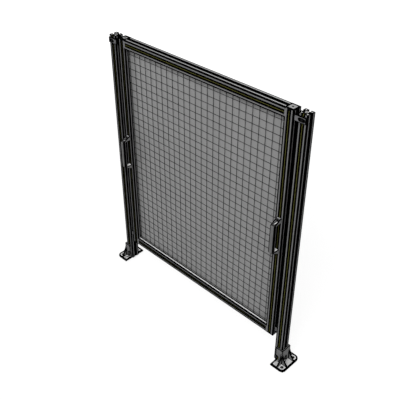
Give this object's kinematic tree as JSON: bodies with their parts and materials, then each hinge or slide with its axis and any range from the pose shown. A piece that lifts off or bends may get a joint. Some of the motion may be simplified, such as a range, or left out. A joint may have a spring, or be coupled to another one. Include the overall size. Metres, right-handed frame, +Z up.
{
  "type": "machine guard fence panel",
  "caption": "Lift-out machine guard panel: framed wire mesh on a tinted sheet, hung on pins between two slotted posts on cast feet, with bow handles.",
  "frame": {"origin": "midway between the left foot's two floor bolt holes, on the underside of its plate", "axes": "+X along the fence from the left post to the right post, +Y to the back, +Z up"},
  "size_m": [1.099, 0.1185, 1.2],
  "materials": {
    "anodised_aluminium": "satin",
    "slot_strip": "matt",
    "end_cap": "matt",
    "zinc_steel": "satin",
    "gasket_rubber": "matt",
    "cast_aluminium": "cast, blasted",
    "bracket_aluminium": "satin",
    "handle_nylon": "fine texture",
    "wire_steel": "satin",
    "smoked_sheet": "satin"
  },
  "bodies": {
    "root": {"left_post": "anodised_aluminium", "left_post_strip": "slot_strip", "left_stile": "anodised_aluminium", "left_stile_strip": "slot_strip", "left_stile_top_cap": "end_cap", "left_stile_bottom_cap": "end_cap", "left_gasket": "gasket_rubber", "left_foot": "cast_aluminium", "left_post_screws": "zinc_steel", "left_pins": "zinc_steel", "left_upper_bracket": "bracket_aluminium", "left_lower_bracket": "bracket_aluminium", "left_handle": "handle_nylon", "left_handle_screws": "zinc_steel", "right_post": "anodised_aluminium", "right_post_strip": "slot_strip", "right_stile": "anodised_aluminium", "right_stile_strip": "slot_strip", "right_stile_top_cap": "end_cap", "right_stile_bottom_cap": "end_cap", "right_gasket": "gasket_rubber", "right_foot": "cast_aluminium", "right_post_screws": "zinc_steel", "right_pins": "zinc_steel", "right_upper_bracket": "bracket_aluminium", "right_lower_bracket": "bracket_aluminium", "right_handle": "handle_nylon", "right_handle_screws": "zinc_steel", "top_rail": "anodised_aluminium", "top_rail_strip": "slot_strip", "bottom_rail": "anodised_aluminium", "bottom_rail_strip": "slot_strip", "mesh_uprights": "wire_steel", "mesh_crosswires": "wire_steel", "infill_sheet": "smoked_sheet", "bottom_gasket": "gasket_rubber", "top_gasket": "gasket_rubber"}
  },
  "joints": []
}
